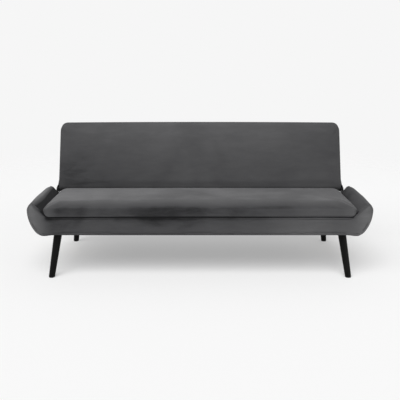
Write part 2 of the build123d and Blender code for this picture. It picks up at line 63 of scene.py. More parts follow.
# Camera and room
cameraView = {
    "lens": 54,
    "sensor": 36,
    "ahead": 3.292,        # metres in front of the base
    "height": 1.2503,
    "tilt": 13.4,          # degrees below level
}
room = {
    "floorRadius": 9,
    "floorSides": 96,
    "fadeStart": 2.2,        # the floor fades into the paper behind it from here
    "fadeEnd": 5.0,
    "floorColor": (0.86, 0.86, 0.86, 1),
    "paper": (0.922, 0.922, 0.922, 1),
    "floorGlow": 1.14,       # lifts the lit floor to the paper's tone
    "glowShare": 0.32,       # how much of the floor's look is that glow
    "ambient": 0.27,
    "lampAway": 3,           # where the lamps stand, which doesn't change their light
}
lamps = [
    # name, towards the lamp, spread in degrees, strength
    ("topLamp", (-0.10, -0.72, 1.0), 44, 2.00),
    ("keyLamp", (-0.58, -0.50, 0.64), 40, 0.85),
    ("sideLamp", (0.75, -0.62, 0.25), 50, 0.50),
    ("rearLamp", (0.30, 0.90, 0.42), 110, 0.32),
]


def addCamera():
    data = bpy.data.cameras.new("photoCamera")
    data.lens = cameraView["lens"]
    data.sensor_width = cameraView["sensor"]
    camera = bpy.data.objects.new("photoCamera", data)
    camera.location = (0, place["frontFace"] - cameraView["ahead"], cameraView["height"])
    camera.rotation_euler = (math.radians(90 - cameraView["tilt"]), 0, 0)
    scene.collection.objects.link(camera)
    scene.camera = camera


def addLamps():
    for name, towards, wide, strength in lamps:
        data = bpy.data.lights.new(name, "SUN")
        data.angle = math.radians(wide)
        data.energy = strength
        lamp = bpy.data.objects.new(name, data)
        lamp.location = Vector(towards) * room["lampAway"]
        lamp.rotation_euler = Vector(towards).to_track_quat("Z", "Y").to_euler()
        scene.collection.objects.link(lamp)


def addNode(tree, kind, sockets=None, **settings):
    node = tree.nodes.new(kind)
    for key, value in settings.items():
        setattr(node, key, value)
    for key, value in (sockets or {}).items():
        node.inputs[key].default_value = value
    return node


def seenDirectly(tree):
    # 1 for what the camera, a reflection or glass looks at, 0 for the light on the sofa
    path = addNode(tree, "ShaderNodeLightPath")
    seen = path.outputs["Is Camera Ray"]
    for ray in ("Is Glossy Ray", "Is Transmission Ray"):
        node = addNode(tree, "ShaderNodeMath", operation="MAXIMUM")
        tree.links.new(seen, node.inputs[0])
        tree.links.new(path.outputs[ray], node.inputs[1])
        seen = node.outputs[0]
    return seen


def mixShaders(tree, share, first, second):
    node = addNode(tree, "ShaderNodeMixShader")
    tree.links.new(share, node.inputs["Fac"])
    tree.links.new(first, node.inputs[1])
    tree.links.new(second, node.inputs[2])
    return node.outputs[0]


def addWorld():
    world = bpy.data.worlds.new("studio")
    scene.world = world
    world.use_nodes = True
    tree = world.node_tree
    tree.nodes.clear()
    soft = addNode(tree, "ShaderNodeBackground", {"Color": (1, 1, 1, 1), "Strength": room["ambient"]})
    paper = addNode(tree, "ShaderNodeBackground", {"Color": room["paper"]})
    look = mixShaders(tree, seenDirectly(tree), soft.outputs[0], paper.outputs[0])
    output = addNode(tree, "ShaderNodeOutputWorld")
    tree.links.new(look, output.inputs["Surface"])


def addFloor():
    bm = bmesh.new()
    bmesh.ops.create_circle(bm, cap_ends=True, segments=room["floorSides"], radius=room["floorRadius"])
    mesh = bpy.data.meshes.new("studioFloor")
    bm.to_mesh(mesh)
    bm.free()
    floor = bpy.data.objects.new("studioFloor", mesh)
    scene.collection.objects.link(floor)
    material = bpy.data.materials.new("paperFloor")
    material.use_nodes = True
    tree = material.node_tree
    tree.nodes.clear()
    coords = addNode(tree, "ShaderNodeTexCoord")
    reach = addNode(tree, "ShaderNodeVectorMath", operation="LENGTH")
    tree.links.new(coords.outputs["Object"], reach.inputs[0])
    fade = addNode(tree, "ShaderNodeMapRange", {"From Min": room["fadeStart"], "From Max": room["fadeEnd"]},
                   interpolation_type="SMOOTHSTEP")
    tree.links.new(reach.outputs["Value"], fade.inputs["Value"])
    lit = addNode(tree, "ShaderNodeBsdfDiffuse", {"Color": room["floorColor"]})
    glow = addNode(tree, "ShaderNodeEmission", {"Color": room["paper"], "Strength": room["floorGlow"]})
    share = addNode(tree, "ShaderNodeMath", {1: room["glowShare"]}, operation="MULTIPLY")
    tree.links.new(seenDirectly(tree), share.inputs[0])
    paper = mixShaders(tree, share.outputs[0], lit.outputs[0], glow.outputs[0])
    clear = addNode(tree, "ShaderNodeBsdfTransparent")
    look = mixShaders(tree, fade.outputs["Result"], paper, clear.outputs[0])
    output = addNode(tree, "ShaderNodeOutputMaterial")
    tree.links.new(look, output.inputs["Surface"])
    mesh.materials.append(material)


addCamera()
addLamps()
addWorld()
addFloor()
print("room ready")


# Finishes
def newFinish(name):
    material = bpy.data.materials.new(name)
    material.use_nodes = True
    tree = material.node_tree
    return material, tree, tree.nodes["Principled BSDF"]


def objectCoords(tree, scale=(1, 1, 1), turn=(0, 0, 0)):
    coords = addNode(tree, "ShaderNodeTexCoord")
    mapping = addNode(tree, "ShaderNodeMapping", {"Scale": scale, "Rotation": turn})
    tree.links.new(coords.outputs["Object"], mapping.inputs["Vector"])
    return mapping.outputs["Vector"]


def noise(tree, vector, scale, detail=3.0, roughness=0.5, distortion=0.0):
    node = addNode(tree, "ShaderNodeTexNoise", {"Scale": scale, "Detail": detail, "Roughness": roughness,
                                                "Distortion": distortion})
    tree.links.new(vector, node.inputs["Vector"])
    return node.outputs["Fac"]


def ramp(tree, value, stops):
    node = addNode(tree, "ShaderNodeValToRGB")
    band = node.color_ramp
    while len(band.elements) < len(stops):
        band.elements.new(0.5)
    for element, (position, color) in zip(band.elements, stops):
        element.position = position
        element.color = (*color, 1)
    tree.links.new(value, node.inputs["Fac"])
    return node.outputs["Color"]


def spread(tree, value, low, high):
    node = addNode(tree, "ShaderNodeMapRange", {"To Min": low, "To Max": high})
    tree.links.new(value, node.inputs["Value"])
    return node.outputs["Result"]


def mixValues(tree, first, second, share):
    node = addNode(tree, "ShaderNodeMix", {"Factor": share}, data_type="FLOAT")
    tree.links.new(first, node.inputs["A"])
    tree.links.new(second, node.inputs["B"])
    return node.outputs["Result"]


def tint(tree, shader, look, stops, wear, rough):
    # Colour along the stops as look goes from 0 to 1, roughness between two values as wear does
    tree.links.new(ramp(tree, look, stops), shader.inputs["Base Color"])
    tree.links.new(spread(tree, wear, *rough), shader.inputs["Roughness"])


def addBump(tree, shader, height, strength, distance, under=None):
    node = addNode(tree, "ShaderNodeBump", {"Strength": strength, "Distance": distance})
    tree.links.new(height, node.inputs["Height"])
    if under is not None:
        tree.links.new(under, node.inputs["Normal"])
    tree.links.new(node.outputs["Normal"], shader.inputs["Normal"])
    return node.outputs["Normal"]


velvetLook = {
    "tones": [
        (0.10, (0.003, 0.003, 0.0035)),      # darkest, reached where shade is painted
        (0.30, (0.047, 0.047, 0.049)),
        (0.50, (0.067, 0.067, 0.069)),
        (0.72, (0.093, 0.093, 0.095)),
        (0.95, (0.165, 0.165, 0.168)),       # lightest, reached where light is painted
    ],
    "patch": 2.6,            # brushed patches per metre
    "stroke": 9.0,
    "strokeScale": (1.0, 1.6, 3.2),
    "strokeTurn": (0.2, 0.35, 0.5),
    "strokeShare": 0.35,
    "pileAndPaintedShade": 900.0,
    "pileShare": 0.16,
    "contrast": (0.12, 0.88),
    "rough": (0.78, 0.95),
    "gloss": 0.18,
    "sheen": 0.12,
    "sheenRoughness": 0.42,
    "sheenTint": (0.62, 0.62, 0.64, 1),
    "strokeBump": (0.10, 0.004),             # strength and depth
    "pileBump": (0.25, 0.0006),
}


def velvetFinish():
    look = velvetLook
    material, tree, shader = newFinish("greyVelvet")
    plain = objectCoords(tree)
    brushed = objectCoords(tree, scale=look["strokeScale"], turn=look["strokeTurn"])
    patches = noise(tree, plain, look["patch"], detail=2.5, roughness=0.5, distortion=0.6)
    strokes = noise(tree, brushed, look["stroke"], detail=4, roughness=0.6, distortion=0.3)
    pileAndPaintedShade = noise(tree, plain, look["pileAndPaintedShade"], detail=2, roughness=0.7)
    nap = mixValues(tree, patches, strokes, look["strokeShare"])
    even = spread(tree, mixValues(tree, nap, pileAndPaintedShade, look["pileShare"]), *look["contrast"])
    # painted light and shade from each piece's attribute, added to the velvet's own patches and pile
    paintedLightAndShade = addNode(tree, "ShaderNodeAttribute", attribute_name="paintedShade")
    textureAndPaintedShade = addNode(tree, "ShaderNodeMath", operation="ADD")
    tree.links.new(even, textureAndPaintedShade.inputs[0])
    tree.links.new(paintedLightAndShade.outputs["Fac"], textureAndPaintedShade.inputs[1])
    tint(tree, shader, textureAndPaintedShade.outputs[0], look["tones"], nap, look["rough"])
    shader.inputs["Specular IOR Level"].default_value = look["gloss"]
    shader.inputs["Sheen Weight"].default_value = look["sheen"]
    shader.inputs["Sheen Roughness"].default_value = look["sheenRoughness"]
    shader.inputs["Sheen Tint"].default_value = look["sheenTint"]
    soft = addBump(tree, shader, strokes, *look["strokeBump"])
    addBump(tree, shader, pileAndPaintedShade, *look["pileBump"], under=soft)
    return material


liningLook = {
    "tones": [(0.3, (0.010, 0.010, 0.011)), (0.7, (0.026, 0.026, 0.027))],
    "fibre": 420,
    "fibreScale": (1, 4, 1),
    "wear": 9,
    "wearShare": 0.3,
    "rough": (0.80, 0.95),
    "bump": (0.35, 0.0008),
}


def liningFinish():
    look = liningLook
    material, tree, shader = newFinish("blackLining")
    fibre = noise(tree, objectCoords(tree, scale=look["fibreScale"]), look["fibre"], detail=4, roughness=0.65)
    wear = noise(tree, objectCoords(tree), look["wear"], detail=3)
    tint(tree, shader, mixValues(tree, fibre, wear, look["wearShare"]), look["tones"], wear, look["rough"])
    addBump(tree, shader, fibre, *look["bump"])
    return material


grainLook = {
    "stops": (0.32, 0.5, 0.7),
    "stretch": 0.06,         # scale along the grain as a share of that across it
    "pores": 9,              # pores to a line of grain
    "poreShare": 0.25,
    "patch": 6,
    "patchShare": 0.25,
    "bump": (0.2, 0.0006),
}


def grainFinish(name, along, tones, lines, rough, gloss=0.4):
    look = grainLook
    material, tree, shader = newFinish(name)
    squeeze = [lines] * 3
    squeeze["XYZ".index(along)] = lines * look["stretch"]
    fine = [side * look["pores"] for side in squeeze]
    grain = noise(tree, objectCoords(tree, scale=squeeze), 1.0, detail=5, roughness=0.6, distortion=0.8)
    pores = noise(tree, objectCoords(tree, scale=fine), 1.0, detail=2)
    patches = noise(tree, objectCoords(tree), look["patch"], detail=2)
    wood = mixValues(tree, mixValues(tree, grain, pores, look["poreShare"]), patches, look["patchShare"])
    tint(tree, shader, wood, list(zip(look["stops"], tones)), grain, rough)
    shader.inputs["Specular IOR Level"].default_value = gloss
    addBump(tree, shader, pores, *look["bump"])
    return material


paintLook = {
    "stops": (0.3, 0.7),
    "wear": 14,
    "wearShare": 0.5,
    "bump": 0.3,
}


def paintFinish(name, tones, grains, rough, bumpDepth, gloss=0.4):
    look = paintLook
    material, tree, shader = newFinish(name)
    vector = objectCoords(tree)
    grain = noise(tree, vector, grains, detail=3, roughness=0.6)
    wear = noise(tree, vector, look["wear"], detail=4, roughness=0.6)
    coat = mixValues(tree, grain, wear, look["wearShare"])
    tint(tree, shader, coat, list(zip(look["stops"], tones)), wear, rough)
    shader.inputs["Specular IOR Level"].default_value = gloss
    addBump(tree, shader, grain, look["bump"], bumpDepth)
    return material


zincLook = {
    "tones": [(0.2, (0.42, 0.43, 0.45)), (0.7, (0.62, 0.63, 0.64))],
    "spangle": 260,
    "haze": 40,
    "hazeShare": 0.6,
    "rough": (0.28, 0.48),
    "bump": (0.1, 0.0003),
}


def zincFinish():
    look = zincLook
    material, tree, shader = newFinish("zincPlatedSteel")
    vector = objectCoords(tree)
    spangle = addNode(tree, "ShaderNodeTexVoronoi", {"Scale": look["spangle"]})
    tree.links.new(vector, spangle.inputs["Vector"])
    haze = noise(tree, vector, look["haze"], detail=4)
    plating = mixValues(tree, spangle.outputs["Distance"], haze, look["hazeShare"])
    tint(tree, shader, plating, look["tones"], haze, look["rough"])
    shader.inputs["Metallic"].default_value = 1
    addBump(tree, shader, haze, *look["bump"])
    return material


pineTones = [(0.42, 0.28, 0.15), (0.58, 0.42, 0.25), (0.70, 0.54, 0.36)]
birchTones = [(0.55, 0.41, 0.25), (0.70, 0.56, 0.38), (0.80, 0.68, 0.50)]
legTones = [(0.0015, 0.0015, 0.0015), (0.003, 0.003, 0.003), (0.006, 0.0057, 0.0054)]
coatTones = [(0.010, 0.010, 0.011), (0.024, 0.024, 0.026)]
plasticTones = [(0.012, 0.012, 0.012), (0.024, 0.024, 0.024)]
rubberTones = [(0.010, 0.010, 0.010), (0.022, 0.022, 0.022)]
velvet = velvetFinish()
finishes = {
    # wood: grain along, tones, lines per metre, roughness; paint: tones, grains per metre, roughness, depth
    "velvet": velvet,
    "lining": liningFinish(),
    "timberX": grainFinish("pineAlongX", "X", pineTones, 70, (0.55, 0.75)),
    "timberY": grainFinish("pineAlongY", "Y", pineTones, 70, (0.55, 0.75)),
    "sprung_birch": grainFinish("birchSlat", "Y", birchTones, 60, (0.35, 0.55)),
    "black_leg": grainFinish("blackLacqueredBeech", "Z", legTones, 90, (0.34, 0.5), gloss=0.08),
    "black_tube": paintFinish("blackPowderCoat", coatTones, 800, (0.42, 0.6), 0.0004, gloss=0.22),
    "zinc_steel": zincFinish(),
    "black_plastic": paintFinish("blackMouldedPlastic", plasticTones, 500, (0.38, 0.55), 0.0003),
    "black_rubber": paintFinish("blackRubber", rubberTones, 350, (0.7, 0.9), 0.0004),
}


def dressNodes():
    for subpart in record["subparts"]:
        node = nodes[subpart["node"]]
        key = subpart["material_slot"]
        if key == "timber":
            low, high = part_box(subpart["node"])
            size = high - low
            key = "timberY" if size.y > size.x and size.y > size.z else "timberX"
        node.data.materials.clear()
        node.data.materials.append(finishes[key])


dressNodes()
print("finishes ready")


# Mesh helpers
axisX, backX = (1, 0, 0), (-1, 0, 0)         # what arcs turn about
axisY, backY = (0, 1, 0), (0, -1, 0)
hair, mergeGap, nearly = 1e-6, 1e-5, 1e-4    # metres that count as the same place
squareOn = 0.999                             # cosine past which a face looks straight along an axis


def startTrace(bm, point):
    return [bmesh.ops.create_vert(bm, co=point)["vert"][0]]


def traceLine(bm, chain, target, steps):
    start = chain[-1].co.copy()
    for step in range(steps):
        vert = bmesh.ops.extrude_vert_indiv(bm, verts=[chain[-1]])["verts"][0]
        vert.co = start.lerp(Vector(target), (step + 1) / steps)
        chain.append(vert)


def traceArc(bm, chain, centre, axis, degrees, steps):
    before = len(bm.verts)
    bmesh.ops.spin(bm, geom=[chain[-1]], cent=centre, axis=axis, dvec=(0, 0, 0),
                   angle=math.radians(degrees), steps=steps)
    bm.verts.ensure_lookup_table()
    chain.extend(bm.verts[before:])


def edgesAlong(bm, row, closed):
    ends = row[1:] + row[:1] if closed else row[1:]
    return [bm.edges.get((first, second)) for first, second in zip(row, ends)]


def loftRows(bm, row, stations, spot, closed=True):
    # Extrudes a chain of vertices once for each station and puts every vertex where spot says
    rows = [row]
    for index, vert in enumerate(row):
        vert.co = spot(index, stations[0])
    for station in stations[1:]:
        made = bmesh.ops.extrude_edge_only(bm, edges=edgesAlong(bm, row, closed))["geom"]
        fresh = {item for item in made if isinstance(item, bmesh.types.BMVert)}
        following = []
        for vert in row:
            others = [edge.other_vert(vert) for edge in vert.link_edges]
            following += [other for other in others if other in fresh]
        row = following
        for index, vert in enumerate(row):
            vert.co = spot(index, station)
        rows.append(row)
    return rows


def capRows(bm, rows):
    for row in (rows[0], rows[-1]):
        bmesh.ops.contextual_create(bm, geom=edgesAlong(bm, row, True))


def bevelEdges(bm, edges, offset, segments):
    bmesh.ops.bevel(bm, geom=edges, offset=offset, segments=segments, profile=0.5, affect="EDGES",
                    material=-1)


def evenly(low, high, count):
    return [low + (high - low) * index / count for index in range(count + 1)]


def makePiece(name, bm, finish):
    bmesh.ops.recalc_face_normals(bm, faces=bm.faces)
    mesh = bpy.data.meshes.new(name)
    bm.to_mesh(mesh)
    bm.free()
    mesh.polygons.foreach_set("use_smooth", [True] * len(mesh.polygons))
    mesh.materials.append(finish)
    piece = bpy.data.objects.new(name, mesh)
    scene.collection.objects.link(piece)
    return piece


def settle(piece, body, levels=1):
    if levels:
        smooth = piece.modifiers.new("softer", "SUBSURF")
        smooth.levels = levels
        smooth.render_levels = levels
    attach(piece, body)


def bothEnds(ends, flat, columns):
    # Rows from the left end to the right one, even over the flat span between the ends' own rows
    return [-x for x in reversed(ends)] + evenly(-flat, flat, columns) + ends


def paintLightAndShade(piece, paintedLightAndShade):
    # Paints light and shade into the velvet's colour: the function gives it for each point, 0 is even
    layer = piece.data.attributes.new("paintedShade", "FLOAT", "POINT")
    for vert, value in zip(piece.data.vertices, layer.data):
        value.value = paintedLightAndShade(vert.co)


clothRun = {"frames": 20, "quality": 5, "tension": 18, "shear": 8, "bending": 2.5, "mass": 0.3}


def swell(piece, held, pressure, cap):
    # Blows the cover up a little between the vertices that seams and frame hold
    group = piece.vertex_groups.new(name="held")
    group.add(sorted(held), 1.0, "REPLACE")
    cloth = piece.modifiers.new("swell", "CLOTH")
    settings = cloth.settings
    settings.quality = clothRun["quality"]
    settings.mass = clothRun["mass"]
    settings.tension_stiffness = clothRun["tension"]
    settings.compression_stiffness = clothRun["tension"]
    settings.shear_stiffness = clothRun["shear"]
    settings.bending_stiffness = clothRun["bending"]
    settings.use_pressure = True
    settings.uniform_pressure_force = pressure
    settings.vertex_group_mass = "held"
    settings.effector_weights.gravity = 0
    cloth.point_cache.frame_start = 1
    cloth.point_cache.frame_end = clothRun["frames"]
    for frameNumber in range(1, clothRun["frames"] + 1):
        scene.frame_set(frameNumber)
    graph = bpy.context.evaluated_depsgraph_get()
    swollen = piece.evaluated_get(graph).to_mesh()
    most = 0
    for vert, moved in zip(piece.data.vertices, swollen.vertices):
        shift = moved.co - vert.co
        if shift.length > 0:
            most = max(most, shift.length)
            vert.co += shift * min(1, cap / shift.length)
    piece.evaluated_get(graph).to_mesh_clear()
    piece.modifiers.remove(cloth)
    piece.vertex_groups.remove(group)
    scene.frame_set(1)
    print("swelled", piece.name, "most", round(most * 1000, 1), "mm, capped at", cap * 1000)


def dressPad(piece, node, body, form, held, paintedLightAndShade=None, levels=1):
    # A padded velvet cover in place of a node: swollen, given painted light and shade, and put on its body
    swell(piece, held, form["pressure"], form["cap"])
    if paintedLightAndShade is not None:
        paintLightAndShade(piece, paintedLightAndShade)
    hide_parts(node)
    settle(piece, body, levels=levels)


def rollOff(distance, reach):
    # Quarter-round fall towards an edge: 0 at the edge, 1 from reach inwards
    share = min(1, max(0, distance / reach))
    return math.sqrt(1 - (1 - share) ** 2)


def ease(value, low, high):
    # 0 below low, 1 above high, smooth between them
    share = min(1, max(0, (value - low) / (high - low)))
    return share * share * (3 - 2 * share)


# Seat cushion: top panel rolling down to a boxing seam along the front and both ends
seatForm = {
    "half": 0.895,
    "ahead": 0.005,          # stands this far ahead of the front face of the base
    "rearClear": 0.0455,     # ahead of the pivot
    "top": 0.4365,
    "bottom": 0.3702,
    "seam": 0.4165,
    "endSeam": 0.403,        # the seam sinks to this level at the ends
    "roll": 0.105,           # how far back the front edge starts to fall
    "endRoll": 0.056,
    "endFoot": 0.040,        # rounding of the ends below the seam
    "endRows": (0.0004, 0.0012, 0.0024, 0.0042, 0.0066, 0.0098, 0.0138, 0.0186, 0.0245, 0.0315,
                0.040, 0.050),
    "endHeld": 0.0066,       # the cover is held this far in from the ends
    "seamFade": 0.13,        # the seam dies out this far from the ends
    "seamRoom": 0.006,       # the boxing's last row stands this far below the seam
    "seamDepth": 0.0022,
    "footRoll": 0.0035,
    "lip": 0.0044,           # the boxing hangs this far below the bottom at the front
    "lipFade": (0.001, 0.009),
    "tuck": 0.003,           # how far the boxing leans back at its foot
    "tuckLeft": 0.15,        # share of that lean at its top
    "rearRadius": 0.042,
    "corner": 0.033,         # front corners seen from above
    "rearCorner": 0.030,
    "crown": 0.006,
    "draw": 0.005,           # the front draws in between the corners
    "columns": 110,
    "steps": {"roll": 10, "top": 22, "rear": 9, "under": 16, "foot": 3, "boxing": 4},
    "pressure": 4.0,
    "cap": 0.006,
    "fill": 0.8,
    "pileAndPaintedShade": {
        "top": 0.30,
        "topSlope": 0.07,              # painted light on top, less by this for each metre to the right
        "fore": 0.66,                  # painted shade over the front roll
        "foreReach": (-0.02, 0.12),
        "foreEnds": 0.6,               # share of it that fades at the ends
        "foreRight": 0.30,             # and to the right
        "rightReach": (0.35, 0.85),
        "endReach": (0.80, 0.88),
        # painted shade along the boxing, with painted light towards the right
        "boxing": -0.285,
        "boxingDepth": (0.02, 0.08),
        "boxingRight": 0.32,
        "boxingReach": (0.15, 0.85),
        "boxingFoot": 0.05,
        # painted highlights along the ends
        "leftEnd": 0.30,
        "rightEnd": 0.12,
        "seamBlend": 0.006,
        "foot": 0.34,                  # painted shade line under the right end
        "footBelow": 0.004,
        "footAbove": 0.010,
    },
}


def paintedSeatShade(co, front):
    # Painted light to the left on top, painted shade over the front roll and along the boxing with painted
    # light to the right, painted highlights at the ends and a painted shade line under the right end
    seam, bottom, pileAndPaintedShade = seatForm["seam"], seatForm["bottom"], seatForm["pileAndPaintedShade"]
    blend = pileAndPaintedShade["seamBlend"]
    low = bottom - pileAndPaintedShade["footBelow"]
    fore = 1 - ease(co.y - front, *pileAndPaintedShade["foreReach"])
    boxing = (1 - ease(co.z, seam - blend, seam + blend)) * (1 - ease(co.y - front, *pileAndPaintedShade["boxingDepth"]))
    ends = ease(abs(co.x), *pileAndPaintedShade["endReach"])
    right = ease(co.x, *pileAndPaintedShade["rightReach"])
    foot = pileAndPaintedShade["foot"] * right * (1 - ease(co.z, low, bottom + pileAndPaintedShade["footAbove"]))
    roll = pileAndPaintedShade["fore"] * fore * (1 - pileAndPaintedShade["foreEnds"] * ends) * (1 - pileAndPaintedShade["foreRight"] * right)
    top = pileAndPaintedShade["top"] - pileAndPaintedShade["topSlope"] * co.x - roll
    end = pileAndPaintedShade["rightEnd"] if co.x > 0 else pileAndPaintedShade["leftEnd"]
    side = pileAndPaintedShade["boxing"] + pileAndPaintedShade["boxingRight"] * ease(co.x, *pileAndPaintedShade["boxingReach"]) + end * ends
    side += pileAndPaintedShade["boxingFoot"] * (1 - ease(co.z, low, seam - 2 * blend))
    return top + (side - top) * boxing - foot


def buildSeatCushion():
    form = seatForm
    steps = form["steps"]
    front = place["frontFace"] - form["ahead"]
    rear = place["pivot"].y - form["rearClear"]
    drop = form["top"] - form["seam"]
    rearCentre = (0, rear - form["rearRadius"], form["top"] - form["rearRadius"])
    rearTurn = 90 + math.degrees(math.asin((rearCentre[2] - form["bottom"]) / form["rearRadius"]))
    bm = bmesh.new()
    row = startTrace(bm, (0, front, form["seam"]))
    traceArc(bm, row, (0, front + drop, form["seam"]), backX, 90, steps["roll"])
    for vert in row[1:]:
        vert.co.y = front + (vert.co.y - front) * form["roll"] / drop
    rearStart = len(row) + steps["top"]
    traceLine(bm, row, (0, rearCentre[1], form["top"]), steps["top"])
    traceArc(bm, row, rearCentre, backX, rearTurn, steps["rear"])
    foot = front + form["tuck"] + form["footRoll"]
    traceLine(bm, row, (0, foot, form["bottom"]), steps["under"])
    footEnd = len(row) + steps["foot"]
    traceArc(bm, row, (0, foot, form["bottom"] + form["footRoll"]), backX, 90, steps["foot"])
    lean = form["tuck"] * form["tuckLeft"]
    traceLine(bm, row, (0, front + lean, form["seam"] - form["seamRoom"]), steps["boxing"])
    bm.edges.new((row[-1], row[0]))
    base = [vert.co.copy() for vert in row]
    depth = rear - front

    def spot(index, x):
        point = base[index]
        edge = form["half"] - abs(x)
        bulge = max(0, 1 - (x / form["half"]) ** 2)
        along = (point.y - front) / depth
        nearFront = front + form["draw"] * bulge + form["corner"] * (1 - rollOff(edge, form["corner"]))
        nearRear = rear - form["rearCorner"] * (1 - rollOff(edge, form["rearCorner"]))
        y = nearFront + (nearRear - nearFront) * along
        seamZ = form["endSeam"] + (form["seam"] - form["endSeam"]) * rollOff(edge, form["endRoll"])
        if point.z > form["seam"]:
            rise = (point.z - form["seam"]) / drop
            lift = drop + form["crown"] * bulge * math.sin(math.pi * min(1, max(0, along)))
            z = seamZ + (lift * rollOff(edge, form["endRoll"])) * rise
        else:
            bottom = form["bottom"] - form["lip"] * (1 - ease(y - place["frontFace"], *form["lipFade"]))
            low = form["endSeam"] + (bottom - form["endSeam"]) * rollOff(edge, form["endFoot"])
            z = low + (seamZ - low) * (point.z - form["bottom"]) / (form["seam"] - form["bottom"])
        return Vector((x, y, z))

    ends = [form["half"] - step for step in reversed(form["endRows"])]
    stations = bothEnds(ends[1:], ends[0], form["columns"])
    rows = loftRows(bm, row, stations, spot)
    capRows(bm, rows)
    bm.verts.index_update()
    held = set()
    for ring, x in zip(rows, stations):
        edge = form["half"] - abs(x)
        for index, vert in enumerate(ring):
            if index == 0:
                vert.co.y += form["seamDepth"] * ease(edge, form["seamFade"] / 3, form["seamFade"])
            onSeam = index == 0 and edge > form["seamFade"] / 2
            if onSeam or rearStart <= index < footEnd or edge < form["endHeld"]:
                held.add(vert.index)
    piece = makePiece("seatCushion", bm, velvet)
    dressPad(piece, "seat_pad", "seat", form, held, lambda co: paintedSeatShade(co, front))


buildSeatCushion()
print("seat cushion ready")


# Back cushion: drawn lying flat from the pivot, then stood up
backForm = {
    "half": 0.9175,
    "near": 0.0035,
    "far": 0.456,
    "low": -0.050,
    "face": 0.0415,
    "footRound": 0.036,
    "topRound": 0.032,
    "sideRound": 0.024,      # front edge of the sides
    "corner": 0.046,         # top corners seen from the front
    "footCorner": 0.003,
    "topNarrowing": 0.005,   # how much each side draws in towards the top
    "topCrown": 0.004,
    "crown": 0.007,
    "rearEnd": 0.02,         # the rear's last row stands this far from the foot
    "columns": 116,
    "steps": {"foot": 4, "footArc": 7, "face": 26, "topArc": 8, "top": 5, "rear": 16},
    "cornerRows": (0.35, 0.7, 1),
    "sideRows": (0.3, 0.55, 0.75, 0.9, 0.97, 1),
    "seamRow": 0.75,         # share of the rounded sides at which the seam runs
    "seamBefore": 3,         # and steps before the end of the top arc
    "seamDepth": 0.0022,
    "pressure": 4.0,
    "cap": 0.007,
    "fill": 0.85,
    "pileAndPaintedShade": {
        "top": 0.12,                   # painted light towards the top edge
        "topReach": (0.55, 0.83),
        "sides": 0.07,                 # painted shade at both sides
        "sideReach": (0.62, 0.86),
        "left": 0.13,                  # low on the left
        "leftReach": (0.20, 0.65),
        "leftFade": 0.7,
        "right": 0.12,                 # and high on the right
        "rightReach": (0.45, 0.75),
        "highReach": (0.50, 0.80),
        "dark": 0.035,
    },
}


def closing(x, half, reach):
    # How far a rounded end has closed at x: 0 in the span, 1 at the very end
    share = max(0, abs(x) - half + reach) / reach
    return 1 - math.sqrt(1 - min(1, share) ** 2)


def paintedBackShade(co):
    # Painted light towards the top edge and painted shade at the sides; also darker low on the left and high
    # on the right
    pileAndPaintedShade = backForm["pileAndPaintedShade"]
    high = ease(co.z, *pileAndPaintedShade["highReach"])
    left = pileAndPaintedShade["left"] * ease(-co.x, *pileAndPaintedShade["leftReach"]) * (1 - pileAndPaintedShade["leftFade"] * high)
    right = pileAndPaintedShade["right"] * ease(co.x, *pileAndPaintedShade["rightReach"]) * high
    top = pileAndPaintedShade["top"] * ease(co.z, *pileAndPaintedShade["topReach"])
    return top - pileAndPaintedShade["sides"] * ease(abs(co.x), *pileAndPaintedShade["sideReach"]) - left - right - pileAndPaintedShade["dark"]


def buildBackCushion():
    form = backForm
    steps = form["steps"]
    bm = bmesh.new()
    foot, top = form["footRound"], form["topRound"]
    row = startTrace(bm, (0, form["near"], form["low"]))
    traceLine(bm, row, (0, form["near"], form["face"] - foot), steps["foot"])
    traceArc(bm, row, (0, form["near"] + foot, form["face"] - foot), backX, 90, steps["footArc"])
    faceStart = len(row)
    traceLine(bm, row, (0, form["far"] - top, form["face"]), steps["face"])
    traceArc(bm, row, (0, form["far"] - top, form["face"] - top), backX, 90, steps["topArc"])
    topEnd = len(row)
    traceLine(bm, row, (0, form["far"], form["low"]), steps["top"])
    traceLine(bm, row, (0, form["near"] + form["rearEnd"], form["low"]), steps["rear"])
    bm.edges.new((row[-1], row[0]))
    base = [vert.co.copy() for vert in row]
    depth = form["face"] - form["low"]

    def spot(index, x):
        point = base[index]
        share = (point.y - form["near"]) / (form["far"] - form["near"])
        rise = (point.z - form["low"]) / depth
        corner = closing(x, form["half"], form["corner"])
        bulge = max(0, 1 - (x / form["half"]) ** 2)
        drop = form["sideRound"] * closing(x, form["half"], form["sideRound"])
        z = point.z + form["crown"] * bulge * math.sin(math.pi * share) * rise ** 4 - drop * rise
        y = point.y - form["corner"] * corner * share + form["footCorner"] * corner * (1 - share)
        y += form["topCrown"] * bulge * share ** 4
        across = x * (1 - form["topNarrowing"] / form["half"] * share)
        return standUp @ Vector((across, y, z))

    flat = form["half"] - form["corner"]
    turnIn = form["half"] - form["sideRound"]
    ends = [flat + (turnIn - flat) * share for share in form["cornerRows"]]
    ends += [turnIn + form["sideRound"] * share for share in form["sideRows"]]
    stations = bothEnds(ends, flat, form["columns"])
    rows = loftRows(bm, row, stations, spot)
    capRows(bm, rows)
    bmesh.ops.recalc_face_normals(bm, faces=bm.faces)
    bm.normal_update()
    bm.verts.index_update()
    seamX = turnIn + form["sideRound"] * form["seamRow"]
    topSeam = topEnd - form["seamBefore"]
    held = set()
    sunk = []
    for ring, x in zip(rows, stations):
        for index, vert in enumerate(ring):
            onEndSeam = abs(abs(x) - seamX) < hair and index <= topSeam
            onTopSeam = index == topSeam and abs(x) < seamX
            if onEndSeam or onTopSeam:
                sunk.append((vert, vert.normal.copy()))
            if onEndSeam or onTopSeam or index < faceStart or index >= topEnd or abs(x) > seamX:
                held.add(vert.index)
    for vert, normal in sunk:
        vert.co -= normal * form["seamDepth"]
    piece = makePiece("backCushion", bm, velvet)
    dressPad(piece, "back_pad", "back", form, held, paintedBackShade)


buildBackCushion()
print("back cushion ready")


